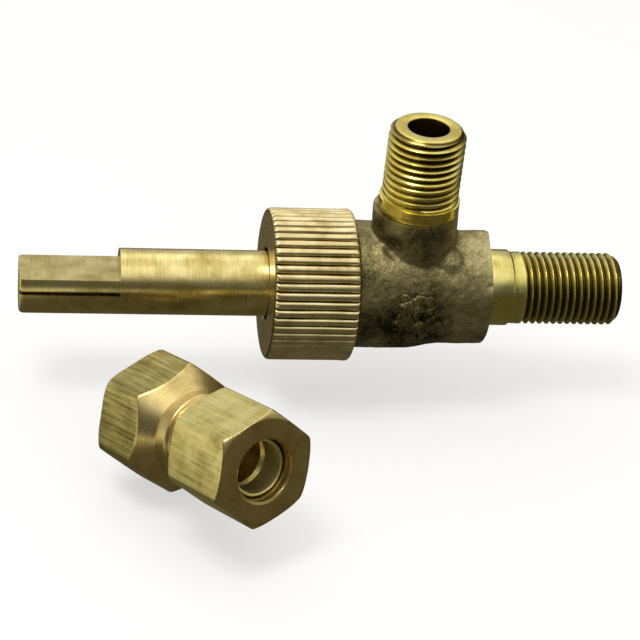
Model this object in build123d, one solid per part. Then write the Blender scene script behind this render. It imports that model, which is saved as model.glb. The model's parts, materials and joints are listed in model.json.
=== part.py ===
from build123d import *
import math
import os

# A small brass needle valve for gas, with the compression fitting it comes with.
# Lengths are in millimetres. X is the spindle axis, from the knob end to the outlet.
# Z is the inlet axis. Stations along X and heights along Z are measured from the
# crossing of the two axes; the finished pieces are then lowered by INLET_DATUM_Z,
# so that the origin ends up in the middle of the inlet thread.

# ---- threads ----
PITCH_27 = 25.4 / 27            # pitch of both pipe-side threads, 27 per inch
CREST_TAPER = 1 / 80            # radius gained per millimetre of inlet thread, towards the collar
RIDGE_LAND = 0.16               # flat width of each thread crest

# ---- fusing and drilling ----
OVERRUN = 1.0                   # how far a drill or a fused bar runs past the surface it meets

# ---- inlet: 1/8-27 tapered pipe thread, pointing up ----
INLET_TOP_Z = 23.1
INLET_DATUM_Z = 18.03           # middle ridge of the inlet thread
INLET_RIDGES = 9
INLET_CREST_R = 5.05            # at the middle ridge
INLET_THREAD_DEPTH = 0.62
INLET_END_R = 4.1
INLET_END_ROUND = 0.85          # height of the rounded end above the thread
INLET_END_EASE = 0.05           # how far that end stays inside the first crest
INLET_BORE_R = 2.6
INLET_NECK_TOP_R = 5.08         # plain turned neck below the thread, with the pipe's taper
INLET_NECK_TOP_Z = 13.55
INLET_NECK_FOOT_R = 5.14
INLET_NECK_FOOT_Z = 11.65       # where the neck meets the flat top of the cast boss
BOSS_R = 5.58
BOSS_SHIFT_X = -0.25            # the cast boss isn't quite true to the turned neck

# ---- outlet: 3/8-27 straight thread, pointing along +X ----
OUTLET_END_X = 27.9
OUTLET_RIDGES = 13
OUTLET_FIRST_RIDGE_X = 15.43
OUTLET_CREST_R = 4.755
OUTLET_THREAD_DEPTH = 0.55
OUTLET_END_R = 3.95
OUTLET_END_CHAMFER = 0.85
OUTLET_END_EASE = 0.1           # how far the end's cone stays inside the last crest
OUTLET_BORE_R = 2.6
SHANK_R = 5.0
SHANK_END_X = 13.1
RELIEF_R = 4.72
RELIEF_END_X = 14.68

# ---- valve body casting ----
BARREL_R = 8.3
BARREL_RAISE = 0.2              # the cast barrel sits a little above the spindle axis
BARREL_START_X = -7.6
BARREL_STEP_X = 2.1
REAR_R = 7.45
REAR_RIDGE_Z = 8.35             # top of the parting ridge on the outlet half
REAR_FACE_X = 9.7
NECK_R = 7.6
NECK_START_X = -15.4
STUFFING_BORE_R = 6.1
STUFFING_BORE_END_X = -7.4
SPINDLE_BORE_R = 3.2
SPINDLE_BORE_END_X = 3.4
SEAT_POCKET_R = 3.6
SEAT_POCKET_END_X = 5.4

# ---- stem ----
STEM_R = 4.25
STEM_END_X = -50.4
STEM_END_CHAMFER = 0.55
STEM_HOLE_END_X = -7.95
FLAT_START_X = -37.7            # where the D-shaped end meets the full round
FLAT_OFFSET = 0.408 * STEM_R    # height of the flat above the stem's axis
FLAT_ROLL = -6.0                # the flat is turned this many degrees from +Z
SLIT_WIDTH = 0.5
SLIT_END_X = -37.75
STEM_COLLAR_R = 5.95
STEM_COLLAR_START_X = -9.4
STEM_RELIEF_R = 4.05            # shallow groove inside the nut's hole
STEM_RELIEF_START_X = -18.95
STEM_RELIEF_END_X = -17.2
TANG_SLOT_WIDTH = 2.1
TANG_SLOT_HEIGHT = 5.8
TANG_SLOT_END_X = -13.4

# ---- needle ----
SPINDLE_THREAD_R = 3.12
SPINDLE_THREAD_START_X = -5.6
SPINDLE_THREAD_END_X = -2.75
SPINDLE_CHAMFER = 0.3
TANG_WIDTH = 1.95
TANG_HEIGHT = 5.6
TANG_END_X = -11.0
TANG_ROOT = 0.5                 # length of tang inside the threaded carrier
NOSE_R = 1.55
NOSE_END_X = 1.4
NEEDLE_SHANK_R = 0.8
NEEDLE_SHANK_START_X = -0.8
NEEDLE_SHOULDER_R = 1.4
NEEDLE_SHOULDER = 0.6           # length of the shoulder in front of the nose
NEEDLE_CONTACT_R = 0.94         # where the cone meets the seat's hole
NEEDLE_CONTACT_X = 4.35
NEEDLE_POINT_X = 4.9
NEEDLE_POINT_R = 0.45

# ---- seat ----
SEAT_HOLE_R = 1.0
SEAT_MOUTH = 0.9                # depth and width of the funnel in front of the hole

# ---- washers, packing and gland, stacked in the stuffing bore ----
WASHER_R = 6.0
WASHER_THICKNESS = 0.5
INNER_WASHER_HOLE_R = 3.5
PACKING_THICKNESS = 1.5
PACKING_R = 6.05
STEM_CLEARANCE = 0.05
STACK_CLEARANCE = 0.05          # between the stem's collar and the outer washer
GLAND_R = 6.05
GLAND_FLANGE_R = 7.0
GLAND_FLANGE_THICKNESS = 0.8

# ---- knurled nut ----
NUT_R = 9.92
NUT_START_X = -18.8
NUT_END_X = -7.95
NUT_HOLE_R = 4.67
NUT_THREAD_R = 7.7
NUT_POCKET_START_X = -16.6
NUT_FRONT_CHAMFER = 0.75        # taken off the radius
NUT_FRONT_CHAMFER_LENGTH = 0.45
NUT_REAR_CHAMFER = 0.3          # taken off the radius
NUT_REAR_CHAMFER_LENGTH = 0.45
KNURL_RIDGES = 52
KNURL_DEPTH = 0.34
KNURL_GROOVE_SHARE = 0.454      # part of each ridge's pitch that is groove

# ---- compression fitting for 1/4 inch tube, modelled with its tube axis along +Z ----
BODY_HEX_AF = 14.29             # 9/16 inch across flats
BODY_HEX_LENGTH = 6.75          # length of the hexagon's corners
BODY_SHOULDER_END_Z = 9.5
FITTING_THREAD_R = 5.5          # 7/16-24
FITTING_THREAD_END_Z = 20.0
COUPLING_BORE_R = 4.78          # slips over the 3/8-27 outlet thread
COUPLING_BORE_DEPTH = 8.5
TUBE_STOP_BORE_R = 2.4
TUBE_SOCKET_R = 3.2
TUBE_SOCKET_START_Z = 13.8
TUBE_SOCKET_CONE = 1.2
FERRULE_START_Z = 19.6
FERRULE_END_Z = 22.8
FERRULE_R = 4.3
FERRULE_NOSE_R = 3.7
FERRULE_NOSE_LENGTH = 1.2
FERRULE_BODY_END_Z = 21.1
FERRULE_SLEEVE_START_Z = 21.8
FERRULE_SLEEVE_R = 3.5
FERRULE_BORE_R = 3.2
COMPRESSION_NUT_AF = 12.7       # 1/2 inch across flats
COMPRESSION_NUT_START_Z = 13.8
COMPRESSION_NUT_END_Z = 24.14
COMPRESSION_NUT_HOLE_R = 3.75
COMPRESSION_NUT_THREAD_R = 5.56
COMPRESSION_NUT_SHOULDER_Z = 21.9
NUT_SEAT_CONE = 1.2
HEX_CHAMFER = 0.5               # taken off the corners' radius
HEX_CHAMFER_LENGTH = 0.3

# where the loose fitting lies: centre of its front face, and the way it points
FITTING_FRONT = (-22.91, -38.82, -2.09)
FITTING_DIRECTION = (0.480, -0.845, 0.237)
FITTING_UP = (-0.341, 0.070, 0.938)     # normal of its uppermost flat


def turned_about_x(outline):
    """Turns a closed outline of (station, radius) points about the spindle axis."""
    profile = make_face(Polyline(*outline, close=True))
    return revolve(profile, Axis.X, 360)


def turned_about_z(outline):
    """Turns a closed outline of (radius, height) points about the Z axis."""
    profile = Plane.XZ * make_face(Polyline(*outline, close=True))
    return revolve(profile, Axis.Z, 360)


def bar_x(radius, start, end):
    """A round bar, or a drill for a round hole, along the spindle axis."""
    middle = Location(((start + end) / 2, 0, 0), (0, 90, 0))
    return middle * Cylinder(radius, end - start)


def bar_z(radius, start, end):
    """A round bar, or a drill for a round hole, along the Z axis."""
    return Location((0, 0, (start + end) / 2)) * Cylinder(radius, end - start)


def thread_ridges(first, count, pitch, crest_radius, depth, taper):
    """Outline of turned thread ridges: (station, radius) points from first to last.

    The radius grows by taper for each millimetre walked away from the first ridge."""
    points = []
    for index in range(count):
        centre = first + index * pitch
        crest = crest_radius + index * abs(pitch) * taper
        step = math.copysign(RIDGE_LAND / 2, pitch)
        root_step = math.copysign(abs(pitch) / 2 - RIDGE_LAND / 2, pitch)
        points.append((centre - root_step, crest - depth))
        points.append((centre - step, crest))
        points.append((centre + step, crest))
        points.append((centre + root_step, crest - depth))
    return points


def ring(inner_radius, outer_radius, start, end):
    """A plain washer or bush about the spindle axis."""
    return turned_about_x([
        (start, inner_radius),
        (start, outer_radius),
        (end, outer_radius),
        (end, inner_radius),
    ])


# ---------------------------------------------------------------- valve body

def inlet_nipple():
    """The tapered inlet thread and the plain turned neck below it."""
    half = (INLET_RIDGES - 1) / 2
    first_z = INLET_DATUM_Z + half * PITCH_27
    first_crest = INLET_CREST_R - half * PITCH_27 * CREST_TAPER
    ridges = thread_ridges(first_z, INLET_RIDGES, -PITCH_27, first_crest,
                           INLET_THREAD_DEPTH, CREST_TAPER)
    outline = [
        (0, INLET_TOP_Z),
        (INLET_END_R, INLET_TOP_Z),
        (first_crest - INLET_END_EASE, INLET_TOP_Z - INLET_END_ROUND),
    ]
    outline += [(radius, height) for height, radius in ridges]
    outline += [
        (INLET_NECK_TOP_R, INLET_NECK_TOP_Z),
        (INLET_NECK_FOOT_R, INLET_NECK_FOOT_Z),
        (INLET_NECK_FOOT_R, 0),
        (0, 0),
    ]
    return turned_about_z(outline)


def outlet_nipple():
    """The turned shank, the thread relief and the straight outlet thread."""
    ridges = thread_ridges(OUTLET_FIRST_RIDGE_X, OUTLET_RIDGES, PITCH_27,
                           OUTLET_CREST_R, OUTLET_THREAD_DEPTH, 0)
    outline = [
        (REAR_FACE_X - OVERRUN, 0),
        (REAR_FACE_X - OVERRUN, SHANK_R),
        (SHANK_END_X, SHANK_R),
        (SHANK_END_X + SHANK_R - RELIEF_R, RELIEF_R),
        (RELIEF_END_X, RELIEF_R),
    ]
    outline += ridges
    outline += [
        (OUTLET_END_X - OUTLET_END_CHAMFER, OUTLET_CREST_R - OUTLET_END_EASE),
        (OUTLET_END_X, OUTLET_END_R),
        (OUTLET_END_X, 0),
    ]
    return turned_about_x(outline)


def rear_section():
    """The outlet half of the barrel, with a roof-like parting ridge on top."""
    tangent_angle = math.acos(REAR_R / REAR_RIDGE_Z)
    side_y = REAR_R * math.sin(tangent_angle)
    side_z = REAR_R * math.cos(tangent_angle)
    length = REAR_FACE_X - BARREL_STEP_X
    round_part = bar_x(REAR_R, BARREL_STEP_X, REAR_FACE_X)
    roof = make_face(Polyline((0, 0), (side_y, side_z), (0, REAR_RIDGE_Z), (-side_y, side_z), close=True))
    roof_plane = Plane(origin=(BARREL_STEP_X, 0, 0), x_dir=(0, 1, 0), z_dir=(1, 0, 0))
    return round_part + extrude(roof_plane * roof, length)


def valve_body():
    """The casting with its neck, both nipples and every passage drilled through it."""
    barrel = Location((0, 0, BARREL_RAISE)) * bar_x(BARREL_R, BARREL_START_X, BARREL_STEP_X)
    neck = bar_x(NECK_R, NECK_START_X, BARREL_START_X + OVERRUN)
    boss = Location((BOSS_SHIFT_X, 0, 0)) * bar_z(BOSS_R, 0, INLET_NECK_FOOT_Z)
    body = barrel + neck + rear_section() + boss + inlet_nipple() + outlet_nipple()
    body -= bar_x(STUFFING_BORE_R, NECK_START_X - OVERRUN, STUFFING_BORE_END_X)
    body -= bar_x(SPINDLE_BORE_R, STUFFING_BORE_END_X - OVERRUN, SPINDLE_BORE_END_X)
    body -= bar_x(SEAT_POCKET_R, SPINDLE_BORE_END_X, SEAT_POCKET_END_X)
    body -= bar_x(OUTLET_BORE_R, SEAT_POCKET_END_X - OVERRUN, OUTLET_END_X + OVERRUN)
    body -= bar_z(INLET_BORE_R, 0, INLET_TOP_Z + OVERRUN)
    return body


# ---------------------------------------------------------------- inside parts

def seat_ring():
    """The pressed-in seat, with a funnel mouth that the needle's cone closes."""
    return turned_about_x([
        (SPINDLE_BORE_END_X, SEAT_HOLE_R + SEAT_MOUTH),
        (SPINDLE_BORE_END_X, SEAT_POCKET_R),
        (SEAT_POCKET_END_X, SEAT_POCKET_R),
        (SEAT_POCKET_END_X, SEAT_HOLE_R),
        (SPINDLE_BORE_END_X + SEAT_MOUTH, SEAT_HOLE_R),
    ])


def needle_spindle():
    """The threaded carrier with the flat tang that the stem turns."""
    tang_length = SPINDLE_THREAD_START_X + TANG_ROOT - TANG_END_X
    tang_middle = TANG_END_X + tang_length / 2
    tang = Location((tang_middle, 0, 0)) * Box(tang_length, TANG_HEIGHT, TANG_WIDTH)
    carrier = turned_about_x([
        (SPINDLE_THREAD_START_X, 0),
        (SPINDLE_THREAD_START_X, SPINDLE_THREAD_R - SPINDLE_CHAMFER),
        (SPINDLE_THREAD_START_X + SPINDLE_CHAMFER, SPINDLE_THREAD_R),
        (SPINDLE_THREAD_END_X - SPINDLE_CHAMFER, SPINDLE_THREAD_R),
        (SPINDLE_THREAD_END_X, SPINDLE_THREAD_R - SPINDLE_CHAMFER),
        (SPINDLE_THREAD_END_X, NOSE_R),
        (NOSE_END_X, NOSE_R),
        (NOSE_END_X, 0),
    ])
    socket = bar_x(NEEDLE_SHANK_R, NEEDLE_SHANK_START_X, NOSE_END_X + OVERRUN)
    return tang + carrier - socket


def needle_tip():
    """The hard pin whose long cone meters the gas at the seat."""
    return turned_about_x([
        (NEEDLE_SHANK_START_X, 0),
        (NEEDLE_SHANK_START_X, NEEDLE_SHANK_R),
        (NOSE_END_X, NEEDLE_SHANK_R),
        (NOSE_END_X, NEEDLE_SHOULDER_R),
        (NOSE_END_X + NEEDLE_SHOULDER, NEEDLE_SHOULDER_R),
        (NEEDLE_CONTACT_X, NEEDLE_CONTACT_R),
        (NEEDLE_POINT_X, NEEDLE_POINT_R),
        (NEEDLE_POINT_X, 0),
    ])


def stem():
    """The round stem: D-shaped and slit outside, with a thrust collar and tang slot inside."""
    bar = turned_about_x([
        (STEM_END_X, 0),
        (STEM_END_X, STEM_R - STEM_END_CHAMFER),
        (STEM_END_X + STEM_END_CHAMFER, STEM_R),
        (STEM_RELIEF_START_X, STEM_R),
        (STEM_RELIEF_START_X, STEM_RELIEF_R),
        (STEM_RELIEF_END_X, STEM_RELIEF_R),
        (STEM_RELIEF_END_X, STEM_R),
        (STEM_COLLAR_START_X, STEM_R),
        (STEM_COLLAR_START_X, STEM_COLLAR_R),
        (STEM_HOLE_END_X, STEM_COLLAR_R),
        (STEM_HOLE_END_X, 0),
    ])
    knob_length = FLAT_START_X - STEM_END_X
    flat_cut = Location((FLAT_START_X - knob_length, 0, FLAT_OFFSET + STEM_R)) * Box(
        2 * knob_length, 4 * STEM_R, 2 * STEM_R)
    slit_length = SLIT_END_X - STEM_END_X
    slit = Location((SLIT_END_X - slit_length, 0, 0)) * Box(2 * slit_length, 4 * STEM_R, SLIT_WIDTH)
    slot_length = STEM_HOLE_END_X - TANG_SLOT_END_X
    slot = Location((TANG_SLOT_END_X + slot_length, 0, 0)) * Box(
        2 * slot_length, TANG_SLOT_HEIGHT, TANG_SLOT_WIDTH)
    knob_end = Rot(FLAT_ROLL, 0, 0) * (bar - flat_cut - slit)
    return knob_end - slot


def stuffing_box_rings():
    """The washers and packing that surround the stem, from the collar outwards."""
    inner_r = STEM_R + STEM_CLEARANCE
    pieces = {}
    pieces["thrust_washer_inner"] = ring(
        INNER_WASHER_HOLE_R, WASHER_R, STUFFING_BORE_END_X - WASHER_THICKNESS, STUFFING_BORE_END_X)
    end = STEM_COLLAR_START_X - STACK_CLEARANCE
    pieces["thrust_washer_outer"] = ring(inner_r, WASHER_R, end - WASHER_THICKNESS, end)
    end -= WASHER_THICKNESS
    pieces["packing_ring_inner"] = ring(inner_r, PACKING_R, end - PACKING_THICKNESS, end)
    end -= PACKING_THICKNESS
    pieces["packing_ring_outer"] = ring(inner_r, PACKING_R, end - PACKING_THICKNESS, end)
    end -= PACKING_THICKNESS
    pieces["packing_washer"] = ring(inner_r, WASHER_R, end - WASHER_THICKNESS, end)
    return pieces, end - WASHER_THICKNESS


def gland_follower(stack_end):
    """The flanged bush that the knurled nut pushes against the packing."""
    inner_r = STEM_R + STEM_CLEARANCE
    flange_start = NUT_POCKET_START_X
    return turned_about_x([
        (flange_start, inner_r),
        (flange_start, GLAND_FLANGE_R),
        (flange_start + GLAND_FLANGE_THICKNESS, GLAND_FLANGE_R),
        (flange_start + GLAND_FLANGE_THICKNESS, GLAND_R),
        (stack_end, GLAND_R),
        (stack_end, inner_r),
    ])


def knurled_nut():
    """The straight-knurled packing nut that traps the stem."""
    blank = turned_about_x([
        (NUT_START_X, NUT_HOLE_R),
        (NUT_START_X, NUT_R - NUT_FRONT_CHAMFER),
        (NUT_START_X + NUT_FRONT_CHAMFER_LENGTH, NUT_R),
        (NUT_END_X - NUT_REAR_CHAMFER_LENGTH, NUT_R),
        (NUT_END_X, NUT_R - NUT_REAR_CHAMFER),
        (NUT_END_X, NUT_THREAD_R),
        (NUT_POCKET_START_X, NUT_THREAD_R),
        (NUT_POCKET_START_X, NUT_HOLE_R),
    ])
    half_width = math.pi * NUT_R / KNURL_RIDGES * KNURL_GROOVE_SHARE
    outer_half_width = half_width * (KNURL_DEPTH + OVERRUN) / KNURL_DEPTH
    groove_face = make_face(Polyline(
        (NUT_R - KNURL_DEPTH, 0),
        (NUT_R + OVERRUN, outer_half_width),
        (NUT_R + OVERRUN, -outer_half_width),
        close=True,
    ))
    groove_plane = Plane(origin=(NUT_START_X - OVERRUN, 0, 0), x_dir=(0, 0, 1), z_dir=(1, 0, 0))
    groove = extrude(groove_plane * groove_face, NUT_END_X - NUT_START_X + 2 * OVERRUN)
    grooves = [Rot(360 * index / KNURL_RIDGES, 0, 0) * groove for index in range(KNURL_RIDGES)]
    return blank - grooves


# ---------------------------------------------------------------- compression fitting

def hexagon_bar(across_flats, start, end):
    """A six-sided bar about the Z axis, with flats facing +Y and -Y."""
    outline = RegularPolygon(across_flats / 2, 6, major_radius=False, rotation=0)
    return extrude(Location((0, 0, start)) * outline, end - start)


def chamfered_hexagon(across_flats, start, end):
    """A six-sided bar whose corners are turned off at both ends."""
    corner_r = across_flats / math.sqrt(3)
    envelope = turned_about_z([
        (0, start),
        (corner_r - HEX_CHAMFER, start),
        (corner_r, start + HEX_CHAMFER_LENGTH),
        (corner_r, end - HEX_CHAMFER_LENGTH),
        (corner_r - HEX_CHAMFER, end),
        (0, end),
    ])
    return hexagon_bar(across_flats, start, end) & envelope


def fitting_body():
    """The hexagonal coupling that screws on the outlet and takes the tube."""
    corner_r = BODY_HEX_AF / math.sqrt(3)
    envelope = turned_about_z([
        (0, 0),
        (corner_r - HEX_CHAMFER, 0),
        (corner_r, HEX_CHAMFER_LENGTH),
        (corner_r, BODY_HEX_LENGTH),
        (FITTING_THREAD_R, BODY_SHOULDER_END_Z),
        (0, BODY_SHOULDER_END_Z),
    ])
    body = hexagon_bar(BODY_HEX_AF, 0, BODY_SHOULDER_END_Z) & envelope
    body += bar_z(FITTING_THREAD_R, BODY_SHOULDER_END_Z - OVERRUN, FITTING_THREAD_END_Z)
    body -= bar_z(COUPLING_BORE_R, -OVERRUN, COUPLING_BORE_DEPTH)
    body -= bar_z(TUBE_STOP_BORE_R, 0, FITTING_THREAD_END_Z)
    socket = turned_about_z([
        (0, TUBE_SOCKET_START_Z),
        (TUBE_SOCKET_R, TUBE_SOCKET_START_Z),
        (TUBE_SOCKET_R, FITTING_THREAD_END_Z - TUBE_SOCKET_CONE),
        (TUBE_SOCKET_R + TUBE_SOCKET_CONE, FITTING_THREAD_END_Z),
        (0, FITTING_THREAD_END_Z),
    ])
    return body - socket


def ferrule():
    """The thin sleeve that the nut squeezes onto the tube."""
    return turned_about_z([
        (FERRULE_BORE_R, FERRULE_START_Z),
        (FERRULE_NOSE_R, FERRULE_START_Z),
        (FERRULE_R, FERRULE_START_Z + FERRULE_NOSE_LENGTH),
        (FERRULE_R, FERRULE_BODY_END_Z),
        (FERRULE_SLEEVE_R, FERRULE_SLEEVE_START_Z),
        (FERRULE_SLEEVE_R, FERRULE_END_Z),
        (FERRULE_BORE_R, FERRULE_END_Z),
    ])


def compression_nut():
    """The hexagonal nut over the ferrule."""
    seat_start = COMPRESSION_NUT_SHOULDER_Z - NUT_SEAT_CONE
    nut = chamfered_hexagon(COMPRESSION_NUT_AF, COMPRESSION_NUT_START_Z, COMPRESSION_NUT_END_Z)
    inside = turned_about_z([
        (0, COMPRESSION_NUT_START_Z - OVERRUN),
        (COMPRESSION_NUT_THREAD_R, COMPRESSION_NUT_START_Z - OVERRUN),
        (COMPRESSION_NUT_THREAD_R, seat_start),
        (COMPRESSION_NUT_HOLE_R, COMPRESSION_NUT_SHOULDER_Z),
        (COMPRESSION_NUT_HOLE_R, COMPRESSION_NUT_END_Z + OVERRUN),
        (0, COMPRESSION_NUT_END_Z + OVERRUN),
    ])
    return nut - inside


def fitting_place():
    """Where the fitting lies: its rear face's centre, with its tube axis as local Z."""
    axis = Vector(*FITTING_DIRECTION).normalized()
    up = Vector(*FITTING_UP)
    front = Vector(*FITTING_FRONT)
    rear = front - axis * COMPRESSION_NUT_END_Z
    side = up.cross(axis).normalized()
    return Plane(origin=rear, x_dir=side, z_dir=axis).location


def all_pieces():
    """Every piece by name, in its place about the crossing of the valve's two axes."""
    rings, stack_end = stuffing_box_rings()
    lying = fitting_place()
    pieces = {
        "valve_body": valve_body(),
        "seat_ring": seat_ring(),
        "needle_spindle": needle_spindle(),
        "needle_tip": needle_tip(),
        "stem": stem(),
        "gland_follower": gland_follower(stack_end),
        "knurled_nut": knurled_nut(),
        "fitting_body": lying * fitting_body(),
        "ferrule": lying * ferrule(),
        "compression_nut": lying * compression_nut(),
    }
    pieces.update(rings)
    return pieces


os.makedirs("parts", exist_ok=True)
for name, piece in all_pieces().items():
    lowered = Location((0, 0, -INLET_DATUM_Z)) * piece
    export_step(lowered, f"parts/{name}.step")
    print(name, round(lowered.volume, 2))
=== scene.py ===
import json
import math
import bmesh
import bpy
from mathutils import Matrix, Vector, noise


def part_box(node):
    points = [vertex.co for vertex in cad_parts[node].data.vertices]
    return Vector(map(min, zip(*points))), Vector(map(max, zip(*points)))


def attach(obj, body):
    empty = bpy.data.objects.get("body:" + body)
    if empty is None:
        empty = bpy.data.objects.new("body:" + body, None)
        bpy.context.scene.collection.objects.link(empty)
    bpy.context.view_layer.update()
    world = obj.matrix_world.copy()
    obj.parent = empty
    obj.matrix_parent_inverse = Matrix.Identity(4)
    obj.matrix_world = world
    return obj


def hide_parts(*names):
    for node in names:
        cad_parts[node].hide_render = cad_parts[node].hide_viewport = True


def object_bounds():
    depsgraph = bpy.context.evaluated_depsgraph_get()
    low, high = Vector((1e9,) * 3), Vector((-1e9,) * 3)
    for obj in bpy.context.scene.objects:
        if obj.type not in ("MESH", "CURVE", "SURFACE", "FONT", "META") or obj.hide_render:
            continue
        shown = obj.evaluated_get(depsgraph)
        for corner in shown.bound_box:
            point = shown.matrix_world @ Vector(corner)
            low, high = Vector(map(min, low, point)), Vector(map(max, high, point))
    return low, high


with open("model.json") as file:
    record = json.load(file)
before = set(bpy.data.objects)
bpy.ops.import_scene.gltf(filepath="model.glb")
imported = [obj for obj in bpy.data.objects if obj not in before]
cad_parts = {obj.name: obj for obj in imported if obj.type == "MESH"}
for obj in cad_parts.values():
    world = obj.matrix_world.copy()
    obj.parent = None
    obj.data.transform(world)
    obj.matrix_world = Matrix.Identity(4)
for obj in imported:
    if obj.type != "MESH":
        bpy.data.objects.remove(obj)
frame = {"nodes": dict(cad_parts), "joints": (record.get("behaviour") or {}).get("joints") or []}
cad_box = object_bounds()

# A brass needle valve and its loose compression fitting. Sizes are in millimetres and
# are turned into metres when a point is placed. Stations along the valve and heights up
# the inlet are measured from the crossing of the stem's axis and the inlet's axis.
MM = 0.001
PITCH_27 = 25.4 / 27
PITCH_24 = 25.4 / 24
ROUND_COLUMNS = 192


def span(node, axis):
    """Lowest and highest coordinate of a CAD node along one axis, in millimetres."""
    low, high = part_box(node)
    return low[axis] / MM, high[axis] / MM


NUT_START, NUT_END = span("knurled_nut", 0)
AXIS_Z = sum(span("seat_ring", 2)) / 2
NUT_R = span("knurled_nut", 2)[1] - AXIS_Z
STEM_START, STEM_END = span("stem", 0)
OUTLET_END = span("valve_body", 0)[1]
NECK_START = span("valve_body", 0)[0]
INLET_TOP = span("valve_body", 2)[1] - AXIS_Z

# casting
BARREL_R = 8.3
BARREL_RAISE = 0.2
BARREL_START = -7.6
BARREL_STEP = 2.1
REAR_R = 7.45
REAR_RIDGE = 8.35
REAR_FACE = 9.7
CUT_OVERRUN = 2.0
NECK_BORE_END = -7.4
STEM_BORE_R = 3.2
STEM_BORE_START = -8.0
STEM_BORE_END = 3.4
SEAT_POCKET_R = 3.6
SEAT_POCKET_START = 3.39
WEBS = (((4.0, -3.0, 4.9), 2.6), ((4.8, 0.0, 5.9), 2.6), ((-4.6, -2.6, 5.2), 3.0), ((-5.2, 0.0, 6.0), 2.7))
SCAR_CENTRE = Vector((-0.5, -8.0, -1.5))
SCAR_REACH = 6.5
DENT_CENTRE = Vector((-3.4, -4.6, 8.3))
BOSS_R = 5.5
BOSS_TOP = INLET_TOP - 11.45
BOSS_TOP_SHIFT = (-0.35, -0.15)
BOSS_LEAN = 0.07
BORE_R = 2.6
INLET_TUBE_START = 3.3

# inlet and outlet threads
INLET_CREST_R = 5.05
INLET_CREST_HEIGHT = -AXIS_Z
INLET_DEPTH = 0.62
INLET_THREAD_END = INLET_TOP - 9.75
PIPE_TAPER = 1 / 32
SHANK_R = 5.0
SHANK_END = 13.1
RELIEF_R = 4.72
OUTLET_THREAD_START = 14.7
OUTLET_CREST_R = 4.755
OUTLET_DEPTH = 0.55

# stem
STEM_R = 4.25
STEM_FLAT_END = -37.7
STEM_SLIT_END = -37.75
STEM_END_ROUND = 0.55
STEM_FLAT_HEIGHT = 0.408 * STEM_R
STEM_ROLL = math.radians(-6)
STEM_SLIT_WIDTH = 0.5
COLLAR_START = -9.4
STEM_COLLAR_R = 5.95
TANG_SLOT_END = -13.4
TANG_SLOT_HEIGHT = 5.8
TANG_SLOT_WIDTH = 2.1

# knurled nut
KNURL_RIDGES = 52
KNURL_DEPTH = 0.42
KNURL_FLARE = 0.07
NUT_HOLE_R = 4.67
NUT_THREAD_R = 7.7
NUT_POCKET = -16.6
NECK_R = 7.6
NECK_BORE_R = 6.1

# compression fitting, measured from its rear face along its tube axis
FITTING_UP = Vector((-0.341, 0.070, 0.938))
FITTING_PIVOT_STATION = 18.0
FITTING_HEX = 14.29
FITTING_HEX_LENGTH = 6.75
FITTING_SHOULDER_END = 9.5
FITTING_THREAD_R = 5.5
FITTING_THREAD_END = 20.0
FITTING_THREAD_DEPTH = 0.5
COUPLING_MINOR_R = 4.3
COUPLING_R = 4.78
COUPLING_DEPTH = 8.5
STOP_R = 2.4
SOCKET_R = 3.2
SOCKET_START = 13.8
SOCKET_CONE = 1.2
TUBE_NUT_HEX = 12.7
TUBE_NUT_START = 13.8
TUBE_NUT_END = 24.14
TUBE_NUT_HOLE_R = 3.75
TUBE_NUT_THREAD_R = 5.56
TUBE_NUT_SHOULDER = 21.9
FERRULE_START = 19.6
FERRULE_END = 22.8
FERRULE_R = 4.3
FERRULE_NOSE_R = 3.7
FERRULE_SLEEVE_R = 3.5


# ------------------------------------------------------------------ mesh making

class Axis:
    """A line to turn things about: where it starts, where it points, and where angle 0 is."""

    def __init__(self, origin, along, zero):
        self.origin = Vector(origin)
        self.along = Vector(along).normalized()
        across = Vector(zero) - self.along * self.along.dot(Vector(zero))
        self.zero = across.normalized()
        self.side = self.along.cross(self.zero)

    def point(self, station, radius, angle):
        """A point in metres, for a station and a radius in millimetres."""
        around = self.zero * math.cos(angle) + self.side * math.sin(angle)
        return self.origin + (self.along * station + around * radius) * MM


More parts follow.
